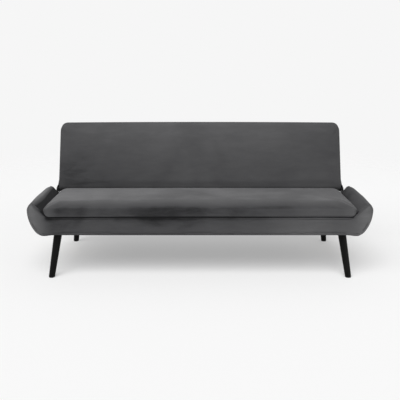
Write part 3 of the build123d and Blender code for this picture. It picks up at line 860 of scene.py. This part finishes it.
# Boat outline of the base: the bottom runs into the curled arms
boatForm = {
    "half": 0.985,
    "foot": 0.902,
    "bottom": 0.256,
    "bottomRadius": 0.054,
    "shoulder": 0.399,
    "tip": Vector((0.959, 0, 0.459)),
    "tipRadius": 0.018,
    "root": Vector((0.872, 0, 0.366)),
    "rootRadius": 0.040,
    "rail": 0.862,           # inner wall of the arms
    "straight": 48,          # steps along the straight of the base
    "arcSteps": (9, 9, 6, 3, 3),
    "slopeSteps": 8,
    "rootSteps": 13,
    "panel": 0.014,
    "rows": 10,
    "edge": 0.0105,
    "edgeSteps": 4,
    "sharp": 1,              # edges that turn more than this are rounded, in radians
    "sag": 0.006,            # the cover hangs this far at the foot of the arms
    "sagAt": 0.894,
    "sagReach": 0.027,
    "sagHeight": 0.04,
    "tipDrop": 0.011,        # the ridge of the arms falls towards the front
    "tipReach": 0.20,
    "tipAhead": 0.02,
    "tipBelow": 0.01,
    "seamDepth": 0.0022,
    "seamWidth": 0.005,
    "pressure": 4.0,
    "cap": 0.004,
    "fill": 0.9,
    "paintedArmShade": {             # painted shade on the inner faces of the arms, by height on their slope and depth
        "lowReach": (0.35, 0.90),
        "ridgeReach": (0.64, 0.95),
        "rearReach": (0.12, 0.42),
        "leftRidge": 0.42,
        "leftLow": 1.0,
        "leftRear": 0.75,
        "rightLow": 0.19,
        "rightRear": 0.14,
    },
    "pileAndPaintedShade": {
        # painted light and shade on the front panel: reaches are from and to; lit, innerTone, turned and nook
        # are left and right
        "outReach": (0.84, 0.95),      # where the straight turns into the arms
        "lit": (0.32, 0.275),          # painted light on the arms
        "innerReach": (0, 0.03),
        "innerFoot": (-0.5, 0.1),
        "innerFrom": (0.84, 0.875),
        "innerTone": (0.2, 0.4),
        "right": 0.28,
        "rightReach": (0.1, 0.65),
        "crease": 0.26,                # painted shade line under the seat
        "creaseRight": 0.8,
        "creaseReach": (0.3595, 0.3655),
        "creaseEnds": (0.85, 0.875),
        "shade": 0.09,
        "shadeReach": (0.330, 0.360),
        "rim": 0.18,                   # painted shade at the turn of the lower edge
        "rimReach": 0.009,
        "turned": (0.22, 0.40),        # and at the edge of the arms
        "turnedDepth": (0.0015, 0.007),
        "turnedReach": (0.004, 0.02),
        "straight": 0.165,
        "height": 0.10,                # painted shade deepening by this up to the deck
        "heightFrom": 0.02,
        "nook": (0.15, 0.45),          # painted shade in the corner beside the seat
        "nookFoot": (-0.10, 0),
        "nookTop": (0.22, 0.45),
        "nookReach": (0, 0.008),
        "nookFrom": (0.845, 0.868),
    },
}


def boatArcs(form):
    # Centres, turns in degrees and steps of the arcs from the flat bottom up to the tip
    lower = Vector((form["foot"], 0, form["bottom"] + form["bottomRadius"]))
    flare = form["half"] - form["foot"]
    drop = form["shoulder"] - lower.z
    radius = (flare ** 2 + drop ** 2 - form["bottomRadius"] ** 2) / (2 * (flare - form["bottomRadius"]))
    upper = Vector((form["half"] - radius, 0, form["shoulder"]))
    join = math.degrees(math.atan2(upper.z - lower.z, lower.x - upper.x))
    inset = form["half"] - form["tip"].x
    climb = form["tip"].z - form["shoulder"]
    cheekTurn = 2 * math.atan2(inset, climb)
    cheekRadius = climb / math.sin(cheekTurn)
    cheek = Vector((form["half"] - cheekRadius, 0, form["shoulder"]))
    slope = form["root"] - form["tip"]
    slopeNormal = math.atan2(-slope.x, slope.z)
    cheekEnd = cheekTurn - form["tipRadius"] * math.tan((slopeNormal - cheekTurn) / 2) / cheekRadius
    halfTip = math.degrees(slopeNormal - cheekEnd) / 2
    reach = cheekRadius - form["tipRadius"]
    tipCentre = cheek + Vector((math.cos(cheekEnd), 0, math.sin(cheekEnd))) * reach
    centres = (lower, upper, cheek, tipCentre, tipCentre)
    turns = (90 - join, join, math.degrees(cheekEnd), halfTip, halfTip)
    return zip(centres, turns, form["arcSteps"])


def traceBoatEnd(bm, row, form):
    # Round the outside up to the tip, then down the inside to the deck
    for centre, turn, steps in boatArcs(form):
        traceArc(bm, row, centre, backY, turn, steps)
    slope = form["tip"] - form["root"]
    slopeTurn = math.atan2(slope.z, slope.x)
    cut = form["rootRadius"] * math.tan(slopeTurn / 2)
    traceLine(bm, row, form["root"] + slope.normalized() * cut, form["slopeSteps"])
    deckCentre = form["root"] + Vector((-cut, 0, form["rootRadius"]))
    traceArc(bm, row, deckCentre, axisY, math.degrees(slopeTurn), form["rootSteps"])


def footSag(point, form):
    across = math.exp(-((abs(point.x) - form["sagAt"]) / form["sagReach"]) ** 2)
    return form["sag"] * across * (1 - ease(point.z, form["bottom"], form["bottom"] + form["sagHeight"]))


def tipDrop(point, behind, form):
    high = ease(point.z, form["shoulder"], form["tip"].z - form["tipBelow"])
    return form["tipDrop"] * high * (1 - ease(behind, -form["tipAhead"], form["tipReach"]))


def innerShare(co):
    # How far up the inner slope of an arm a point is, and how far outside that slope
    slope = boatForm["tip"] - boatForm["root"]
    share = (co.z - boatForm["root"].z) / slope.z
    return share, abs(co.x) - boatForm["root"].x - slope.x * min(1, max(0, share))


def armShade(co):
    # Painted shade on the inner faces: the left arm is dark low down and at the rear with painted light along
    # its ridge, the right one more even
    pileAndPaintedShade = boatForm["paintedArmShade"]
    share = innerShare(co)[0]
    low = 1 - ease(share, *pileAndPaintedShade["lowReach"])
    rear = ease(co.y - place["frontFace"], *pileAndPaintedShade["rearReach"])
    ridge = ease(share, *pileAndPaintedShade["ridgeReach"])
    if co.x < 0:
        return pileAndPaintedShade["leftRidge"] * ridge - pileAndPaintedShade["leftLow"] * low - pileAndPaintedShade["leftRear"] * rear * (1 - ridge)
    return -pileAndPaintedShade["rightLow"] * low - pileAndPaintedShade["rightRear"] * rear


def paintedFrontShade(co):
    # Painted light where the panel turns up into the arms and along the right half, painted shade in the
    # crease under the seat, along the lower edge and in the corners beside the seat
    form, pileAndPaintedShade = boatForm, boatForm["pileAndPaintedShade"]
    side = 0 if co.x < 0 else 1
    wide = abs(co.x)
    share, outside = innerShare(co)
    out = ease(wide, *pileAndPaintedShade["outReach"])
    inner = 1 - ease(outside, *pileAndPaintedShade["innerReach"])
    inner *= ease(share, *pileAndPaintedShade["innerFoot"]) * ease(wide, *pileAndPaintedShade["innerFrom"])
    right = pileAndPaintedShade["right"] * ease(co.x, *pileAndPaintedShade["rightReach"]) * (1 - out)
    crease = (pileAndPaintedShade["crease"] + pileAndPaintedShade["creaseRight"] * right) * ease(co.z, *pileAndPaintedShade["creaseReach"])
    crease += pileAndPaintedShade["shade"] * ease(co.z, *pileAndPaintedShade["shadeReach"])
    crease *= 1 - ease(wide, *pileAndPaintedShade["creaseEnds"])
    rim = pileAndPaintedShade["rim"] * (1 - ease(co.z, form["bottom"], form["bottom"] + pileAndPaintedShade["rimReach"]))
    turned = ease(co.y - place["frontFace"], *pileAndPaintedShade["turnedDepth"]) * ease(outside, *pileAndPaintedShade["turnedReach"])
    rim = max(rim, pileAndPaintedShade["turned"][side] * turned)
    height = ease(co.z, form["bottom"] + pileAndPaintedShade["heightFrom"], form["root"].z)
    straight = -pileAndPaintedShade["height"] * height - pileAndPaintedShade["straight"]
    across = pileAndPaintedShade["lit"][side] * out * (1 - inner) + straight * (1 - out)
    across += pileAndPaintedShade["innerTone"][side] * armShade(co) * inner
    nook = ease(share, *pileAndPaintedShade["nookFoot"]) * (1 - ease(share, *pileAndPaintedShade["nookTop"]))
    nook *= 1 - ease(outside, *pileAndPaintedShade["nookReach"])
    nook *= pileAndPaintedShade["nook"][side] * ease(wide, *pileAndPaintedShade["nookFrom"])
    return across + right - crease - rim - nook


def buildFrontPanel():
    form = boatForm
    face = place["frontFace"]
    bm = bmesh.new()
    row = startTrace(bm, (0, 0, form["bottom"]))
    traceLine(bm, row, (form["foot"], 0, form["bottom"]), form["straight"])
    traceBoatEnd(bm, row, form)
    apex = form["straight"] + sum(form["arcSteps"][:-1])
    traceLine(bm, row, (0, 0, form["root"].z), 2 * apex - len(row) + 1)
    points = [vert.co - Vector((0, 0, footSag(vert.co, form) + tipDrop(vert.co, 0, form))) for vert in row]
    bm.free()
    lower, upper = points[:apex + 1], points[apex:][::-1]
    bm = bmesh.new()
    row = startTrace(bm, lower[0])
    for point in lower[1:]:
        traceLine(bm, row, point, 1)

    def spot(index, share):
        point = lower[index].lerp(upper[index], share)
        point.y = face
        return point

    loftRows(bm, row, evenly(0, 1, form["rows"]), spot, closed=False)
    bmesh.ops.remove_doubles(bm, verts=bm.verts, dist=mergeGap)
    bmesh.ops.mirror(bm, geom=bm.verts[:] + bm.edges[:] + bm.faces[:], matrix=Matrix.Identity(4),
                     merge_dist=mergeGap, axis="X")
    bmesh.ops.recalc_face_normals(bm, faces=bm.faces)
    bm.normal_update()
    if bm.faces[:][0].normal.y > 0:
        bmesh.ops.reverse_faces(bm, faces=bm.faces)
    bmesh.ops.solidify(bm, geom=bm.faces[:], thickness=form["panel"])
    bm.normal_update()
    shift = face - min(vert.co.y for vert in bm.verts)
    bmesh.ops.translate(bm, verts=bm.verts, vec=(0, shift, 0))
    rim = [edge for edge in bm.edges
           if len(edge.link_faces) == 2 and edge.calc_face_angle() > form["sharp"]
           and max(vert.co.y for vert in edge.verts) < face + form["panel"] / 2]
    bevelEdges(bm, rim, form["edge"], form["edgeSteps"])
    bm.normal_update()
    flat = [part for part in bm.faces
            if part.normal.y < -squareOn and part.calc_center_median().y < face + nearly]
    for depth in (-form["seamDepth"], form["seamDepth"]):
        bmesh.ops.inset_region(bm, faces=flat, thickness=form["seamWidth"] / 2, depth=depth)
    bm.normal_update()
    bm.verts.index_update()
    loose = {vert for part in flat for vert in part.verts}
    held = {vert.index for vert in bm.verts if vert not in loose}
    piece = makePiece("frontPanelCover", bm, velvet)
    dressPad(piece, "front_panel", "base", form, held, paintedFrontShade)


buildFrontPanel()
print("front panel ready")


# Arms: the boat outline carried back from the front panel
armForm = {
    "depth": 0.452,
    "gap": 0.0004,           # behind the front panel
    "rows": 24,
    "footSteps": 2,
    "railSteps": 7,
    "railFoot": 0.012,       # the rail's last row stands this far above the bottom
    "rearRound": 0.085,      # length over which the rear end closes in
    "rearStep": 10,          # degrees between its rows
    "drawIn": 0.165,         # share of the width beyond the rail that it takes away
    "drawDown": 0.11,
    "drawUp": 0.07,
    "frontEdge": 0.002,
    "rearEdge": 0.010,
    "heldFront": 0.012,      # the cover is held this far from its front,
    "heldRear": 1.2,         # over this many rear edges,
    "heldLow": 0.002,        # at the bottom
    "heldIn": 0.004,         # and inside the foot
    "pressure": 3.0,
    "cap": 0.003,
    "fill": 0.9,
    # painted light on the outer faces, blending into the inner faces' painted shade
    "pileAndPaintedShade": {"outer": 0.1, "blend": (0.006, 0.016)},
}


def paintedArmCoverShade(co):
    # Painted shade on the inner faces, darkest low on the left arm and at the rear of the right one
    pileAndPaintedShade = armForm["pileAndPaintedShade"]
    inner = 1 - ease(innerShare(co)[1], *pileAndPaintedShade["blend"])
    return armShade(co) * inner + pileAndPaintedShade["outer"] * (1 - inner)


def buildArm(name, node, side):
    form = boatForm
    bm = bmesh.new()
    start = place["frontFace"] + form["panel"] + armForm["gap"]
    end = place["frontFace"] + armForm["depth"]
    row = startTrace(bm, (form["rail"], 0, form["bottom"]))
    traceLine(bm, row, (form["foot"], 0, form["bottom"]), armForm["footSteps"])
    traceBoatEnd(bm, row, form)
    spare = [vert for vert in row if vert.co.x < form["rail"] - hair]
    row = [vert for vert in row if vert not in spare]
    bmesh.ops.delete(bm, geom=spare, context="VERTS")
    row[-1].co.x = form["rail"]
    traceLine(bm, row, (form["rail"], 0, form["bottom"] + armForm["railFoot"]), armForm["railSteps"])
    bm.edges.new((row[-1], row[0]))
    base = [vert.co.copy() for vert in row]
    roundStart = end - armForm["rearRound"]

    def spot(index, y):
        lower = footSag(base[index], form) + tipDrop(base[index], y - place["frontFace"], form)
        point = base[index] - Vector((0, 0, lower))
        turn = max(0, y - roundStart) / armForm["rearRound"]
        if point.x > form["rail"] + nearly:
            shut = 1 - math.sqrt(max(0, 1 - turn ** 2))
            above = point.z - form["shoulder"]
            point.x -= armForm["drawIn"] * shut * (point.x - form["rail"])
            point.z -= (armForm["drawDown"] if above > 0 else armForm["drawUp"]) * shut * above
        return Vector((side * point.x, y, point.z))

    turns = [math.radians(turn) for turn in range(armForm["rearStep"], 91, armForm["rearStep"])]
    rounding = [roundStart + armForm["rearRound"] * math.sin(turn) for turn in turns]
    rows = loftRows(bm, row, evenly(start, roundStart, armForm["rows"]) + rounding, spot)
    capRows(bm, rows)
    bevelEdges(bm, edgesAlong(bm, rows[0], True), armForm["frontEdge"], 2)
    rim = [edge for edge in bm.edges if min(vert.co.y for vert in edge.verts) > end - mergeGap]
    bevelEdges(bm, rim, armForm["rearEdge"], 4)
    bm.verts.index_update()
    held = set()
    for vert in bm.verts:
        inside = abs(vert.co.x) < form["foot"] - armForm["heldIn"]
        atFront = vert.co.y < start + armForm["heldFront"]
        atRear = vert.co.y > end - armForm["rearEdge"] * armForm["heldRear"]
        if inside or atFront or atRear or vert.co.z < form["bottom"] + armForm["heldLow"]:
            held.add(vert.index)
    piece = makePiece(name, bm, velvet)
    dressPad(piece, node, "base", armForm, held, paintedArmCoverShade)


buildArm("rightArmCover", "right_arm_cover", 1)
buildArm("leftArmCover", "left_arm_cover", -1)
print("arms ready")


# Rear cover of the back: a thin quilted tray round the back board, drawn flat and stood up
rearForm = {
    "half": 0.9175,
    "near": 0.0035,
    "far": 0.4555,
    "rear": -0.0645,
    "rim": -0.0508,
    "rimEdge": 0.003,
    "pocket": 0.0235,        # width of the rim round the back board
    "pocketFloor": -0.0597,
    "pocketWall": 0.0004,    # half the run over which the pocket's ends rise to the rim
    "rimIn": 0.007,          # the rim's rows stand this far inside the outline beyond the pocket
    "rimTread": 0.0004,      # keeps two rows of the rim apart
    "edge": 0.006,
    "corner": 0.046,
    "footCorner": 0.003,
    "narrowing": 0.005,
    "narrowFrom": 0.002,     # beyond the end of the pocket
    "columns": 96,
    "endRows": (0.018, 0.012, 0.007, 0.0035, 0.001, 0),
    "steps": {"wall": 2, "edge": 4, "face": 26, "floor": 18},
    "seamIn": 0.030,         # stitched line inside the edge
    "seamWidth": 0.005,
    "seamDepth": 0.0018,
    "sharp": 50,             # degrees
    "pressure": 3.0,
    "cap": 0.003,            # keeps it off the bumpers when the back lies flat
    "fill": 0.9,
}


def buildRearCover():
    form = rearForm
    steps = form["steps"]
    bm = bmesh.new()
    near, far, rear, rim = form["near"], form["far"], form["rear"], form["rim"]
    edge, pocket, rimEdge, floor = form["edge"], form["pocket"], form["rimEdge"], form["pocketFloor"]
    seam, groove = form["seamIn"], form["seamWidth"] / 2
    row = startTrace(bm, (0, near + rimEdge, rim))
    traceLine(bm, row, (0, near, rim - rimEdge), 1)
    traceLine(bm, row, (0, near, rear + edge), steps["wall"])
    traceArc(bm, row, (0, near + edge, rear + edge), axisX, 90, steps["edge"])
    traceLine(bm, row, (0, near + seam - groove, rear), 1)
    traceLine(bm, row, (0, near + seam, rear), 1)
    seamNear = len(row) - 1
    traceLine(bm, row, (0, near + seam + groove, rear), 1)
    traceLine(bm, row, (0, far - seam - groove, rear), steps["face"])
    traceLine(bm, row, (0, far - seam, rear), 1)
    seamFar = len(row) - 1
    traceLine(bm, row, (0, far - seam + groove, rear), 1)
    traceLine(bm, row, (0, far - edge, rear), 1)
    traceArc(bm, row, (0, far - edge, rear + edge), axisX, 90, steps["edge"])
    traceLine(bm, row, (0, far, rim - rimEdge), steps["wall"])
    traceLine(bm, row, (0, far - rimEdge, rim), 1)
    outerEnd = len(row) - 1
    traceLine(bm, row, (0, far - pocket, rim), 1)
    traceLine(bm, row, (0, far - pocket, floor), 1)
    traceLine(bm, row, (0, near + pocket, floor), steps["floor"])
    traceLine(bm, row, (0, near + pocket, rim), 1)
    bm.edges.new((row[-1], row[0]))
    base = [vert.co.copy() for vert in row]
    pocketEnd = form["half"] - pocket

    def spot(index, x):
        point = base[index].copy()
        share = (point.y - near) / (far - near)
        shut = closing(x, form["half"], form["corner"])
        if index <= outerEnd:
            point.y += shut * (form["footCorner"] * (1 - share) - form["corner"] * share)
            point.z += edge * closing(x, form["half"], edge) * (rim - point.z) / (rim - rear)
        elif abs(x) > pocketEnd:
            # Beyond the pocket its rows lie spread out along the rim
            along = (point.y - near - pocket) / (far - near - 2 * pocket)
            tread = form["rimTread"] if index in (outerEnd + 1, len(base) - 1) else 0
            span = far - form["corner"] * shut - near - 2 * form["rimIn"]
            point.y = near + form["rimIn"] + along * span + (tread if along > 0.5 else -tread)
            point.z = rim
        drawn = form["narrowing"] * share * ease(abs(x), pocketEnd + form["narrowFrom"], form["half"])
        point.x = math.copysign(abs(x) - drawn, x)
        return standUp @ point

    seamX = form["half"] - seam
    flat = seamX - groove
    ends = [seamX, seamX + groove, pocketEnd - form["pocketWall"], pocketEnd + form["pocketWall"]]
    ends += [form["half"] - step for step in form["endRows"]]
    stations = bothEnds(ends, flat, form["columns"])
    rows = loftRows(bm, row, stations, spot)
    capRows(bm, rows)
    inward = standUp.to_3x3() @ Vector((0, 0, 1))
    bm.verts.index_update()
    held = set()
    for ring, x in zip(rows, stations):
        for index, vert in enumerate(ring):
            onAcross = index in (seamNear, seamFar) and abs(x) <= seamX + hair
            onEnd = abs(abs(x) - seamX) < hair and seamNear <= index <= seamFar
            if onAcross or onEnd:
                vert.co += inward * form["seamDepth"]
            if onAcross or onEnd or not seamNear < index < seamFar or abs(x) > seamX:
                held.add(vert.index)
    piece = makePiece("backRearCover", bm, velvet)
    dressPad(piece, "back_rear_cover", "back", form, held, levels=0)
    piece.data.set_sharp_from_angle(angle=math.radians(form["sharp"]))


buildRearCover()
print("rear cover ready")


# Covered boards of the base
boardForm = {
    "cuts": 40,
    "longShare": 0.8,        # edges longer than this share of the board are cut
    "edge": 0.38,            # edge rounding as a share of the thinnest side
    "hem": 0.007,            # hem groove inside the edge of the faces
    "hemWidth": 0.003,
    "hemDepth": 0.0008,
    "sharp": 60,             # degrees
    "fill": 0.95,
}
boards = [
    # piece, node it stands for, slot
    ("deckLipCover", "deck_lip", "velvet"),
    ("leftSideSkirtCover", "left_side_skirt", "velvet"),
    ("rightSideSkirtCover", "right_side_skirt", "velvet"),
    ("rearSkirtCover", "rear_skirt", "velvet"),
    ("rearDeckLining", "rear_deck", "lining"),
]


def buildCoveredBoard(name, node, slot):
    form = boardForm
    low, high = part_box(node)
    size = high - low
    thin = min(range(3), key=lambda axis: size[axis])
    bm = bmesh.new()
    bmesh.ops.create_cube(bm, size=1)
    bmesh.ops.scale(bm, verts=bm.verts, vec=size)
    bmesh.ops.translate(bm, verts=bm.verts, vec=(low + high) / 2)
    bevelEdges(bm, bm.edges[:], size[thin] * form["edge"], 3)
    bm.normal_update()
    broad = [face for face in bm.faces if abs(face.normal[thin]) > squareOn]
    bmesh.ops.inset_individual(bm, faces=broad, thickness=form["hem"])
    for depth in (-form["hemDepth"], form["hemDepth"]):
        bmesh.ops.inset_individual(bm, faces=broad, thickness=form["hemWidth"] / 2, depth=depth)
    long = max(size) * form["longShare"]
    along = [edge for edge in bm.edges if edge.calc_length() > long]
    bmesh.ops.subdivide_edges(bm, edges=along, cuts=form["cuts"], use_grid_fill=True)
    piece = makePiece(name, bm, finishes[slot])
    piece.data.set_sharp_from_angle(angle=math.radians(form["sharp"]))
    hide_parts(node)
    settle(piece, "base", levels=0)


for name, node, slot in boards:
    buildCoveredBoard(name, node, slot)
print("covered boards ready")


# Lining stapled under the base
liningForm = {
    "columns": 72,
    "rows": 30,
    "sag": 0.004,
    "thick": 0.0012,
    "stapleIn": 0.007,       # staples stand this far inside the edge
    "staplePitch": 0.058,
    "staple": (0.011, 0.0013, 0.0010),
    "stapleEdge": 0.0003,
    "stapleSharp": 30,       # degrees
}


def buildLining():
    form = liningForm
    low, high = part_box("dust_cover")
    size = high - low
    level = (low.z + high.z) / 2
    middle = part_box("mid_rail")
    midY = (middle[0].y + middle[1].y) / 2
    bm = bmesh.new()
    bmesh.ops.create_grid(bm, x_segments=form["columns"], y_segments=form["rows"], size=0.5)
    bmesh.ops.scale(bm, verts=bm.verts, vec=(size.x, size.y, 1))
    bmesh.ops.translate(bm, verts=bm.verts, vec=((low.x + high.x) / 2, (low.y + high.y) / 2, level))
    for vert in bm.verts:
        across = abs(math.sin(math.pi * vert.co.x / high.x))
        start, end = (low.y, midY) if vert.co.y < midY else (midY, high.y)
        vert.co.z -= form["sag"] * across * math.sin(math.pi * (vert.co.y - start) / (end - start))
    piece = makePiece("baseLining", bm, finishes["lining"])
    wall = piece.modifiers.new("cloth", "SOLIDIFY")
    wall.thickness = form["thick"]
    wall.offset = 0
    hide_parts("dust_cover")
    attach(piece, "base")

    bm = bmesh.new()
    edgeX, edgeY = high.x - form["stapleIn"], high.y - form["stapleIn"]
    nearY = low.y + form["stapleIn"]
    places = []
    countX = round(2 * edgeX / form["staplePitch"])
    countY = round((edgeY - nearY) / form["staplePitch"])
    for index in range(countX + 1):
        x = -edgeX + 2 * edgeX * index / countX
        places += [(x, nearY, 0), (x, edgeY, 0)]
    for index in range(1, countY):
        y = nearY + (edgeY - nearY) * index / countY
        places += [(-edgeX, y, 90), (edgeX, y, 90)]
    under = level - form["thick"] / 2 - form["staple"][2] / 2
    for x, y, turn in places:
        spot = Matrix.Translation((x, y, under)) @ Matrix.Rotation(math.radians(turn), 4, "Z")
        bmesh.ops.create_cube(bm, size=1, matrix=spot @ Matrix.Diagonal((*form["staple"], 1)))
    bevelEdges(bm, bm.edges[:], form["stapleEdge"], 1)
    piece = makePiece("liningStaples", bm, finishes["zinc_steel"])
    piece.data.set_sharp_from_angle(angle=math.radians(form["stapleSharp"]))
    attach(piece, "base")


buildLining()
print("lining ready")


print("sofa ready")
